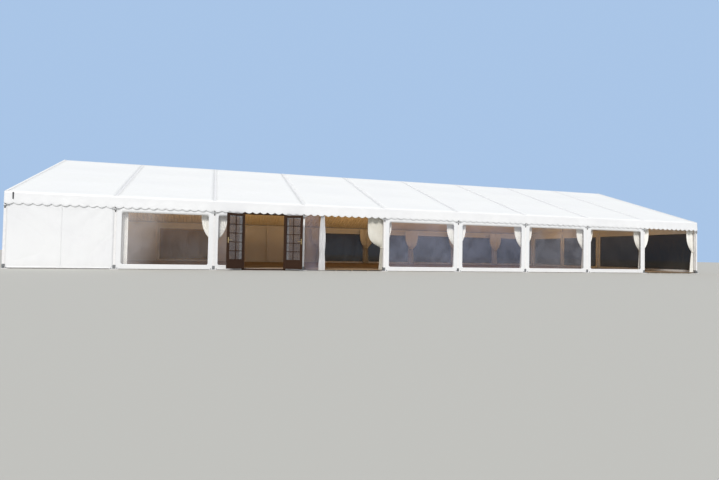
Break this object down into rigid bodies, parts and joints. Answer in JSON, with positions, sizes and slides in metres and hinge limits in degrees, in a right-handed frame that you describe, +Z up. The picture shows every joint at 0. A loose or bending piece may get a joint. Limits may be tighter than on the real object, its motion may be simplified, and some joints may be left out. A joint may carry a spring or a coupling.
{
  "type": "clear-span marquee tent",
  "caption": "White clear-span marquee with a ridged sheet roof, scalloped valances, window walls, tied-back curtains, open bays, a boarded floor and hinged French doors.",
  "frame": {"origin": "on the ground at the middle of the plan, on the underside of the boarded floor", "axes": "+Z up, +X along the front towards the open end bay, +Y from the front to the rear"},
  "size_m": [27.07, 12.4831, 4.3],
  "materials": {
    "white_sheet": "satin coated sheet",
    "clear_sheet": "flexible clear sheet",
    "alloy_frame": "mill finish",
    "floor_boards": "worn boards",
    "door_wood": "dark stain",
    "door_glass": "clear",
    "door_metal": "satin",
    "hinge_steel": "dull",
    "ivory_curtain": "soft drape",
    "ivory_lining": "pleated lining"
  },
  "bodies": {
    "marquee": {"door_frame": "door_wood", "door_head_wall": "white_sheet", "door_left_clear_pane": "clear_sheet", "door_left_window_wall": "white_sheet", "door_right_clear_pane": "clear_sheet", "door_right_window_wall": "white_sheet", "drawn_clear_wall": "clear_sheet", "drawn_wall_bunch": "white_sheet", "end_bay_curtains": "ivory_curtain", "floor": "floor_boards", "front_2_clear_pane": "clear_sheet", "front_2_window_wall": "white_sheet", "front_5_clear_pane": "clear_sheet", "front_5_window_wall": "white_sheet", "front_6_clear_pane": "clear_sheet", "front_6_window_wall": "white_sheet", "front_7_clear_pane": "clear_sheet", "front_7_window_wall": "white_sheet", "front_8_clear_pane": "clear_sheet", "front_8_window_wall": "white_sheet", "front_curtains": "ivory_curtain", "front_lining": "ivory_lining", "front_roof_frame": "alloy_frame", "front_solid_wall": "white_sheet", "front_valance": "white_sheet", "front_wall_frame": "alloy_frame", "left_door_hinges": "hinge_steel", "left_gable_frame": "alloy_frame", "left_gable_triangle": "white_sheet", "left_gable_wall": "white_sheet", "rear_clear_panes": "clear_sheet", "rear_curtains": "ivory_curtain", "rear_lining": "ivory_lining", "rear_roof_frame": "alloy_frame", "rear_valance": "white_sheet", "rear_wall": "white_sheet", "rear_wall_frame": "alloy_frame", "right_door_hinges": "hinge_steel", "right_gable_clear_panes": "clear_sheet", "right_gable_frame": "alloy_frame", "right_gable_triangle": "white_sheet", "right_gable_window_wall": "white_sheet", "roof_sheet_1": "white_sheet", "roof_sheet_2": "white_sheet", "roof_sheet_3": "white_sheet", "roof_sheet_4": "white_sheet", "roof_sheet_5": "white_sheet", "roof_sheet_6": "white_sheet", "roof_sheet_7": "white_sheet", "roof_sheet_8": "white_sheet", "roof_sheet_9": "white_sheet"},
    "left_door": {"left_door_leaf": "door_wood", "left_door_glass": "door_glass", "left_door_handle": "door_metal"},
    "right_door": {"right_door_leaf": "door_wood", "right_door_glass": "door_glass", "right_door_handle": "door_metal"}
  },
  "joints": [
    {"name": "left_door_hinge", "type": "hinge", "parent": "marquee", "child": "left_door", "pos_m": [-6.53, -6.009, 0.98], "axis": [0, 0, 1], "range_deg": [-20, 150]},
    {"name": "right_door_hinge", "type": "hinge", "parent": "marquee", "child": "right_door", "pos_m": [-5.17, -6.009, 0.98], "axis": [0, 0, -1], "range_deg": [-20, 150]}
  ]
}
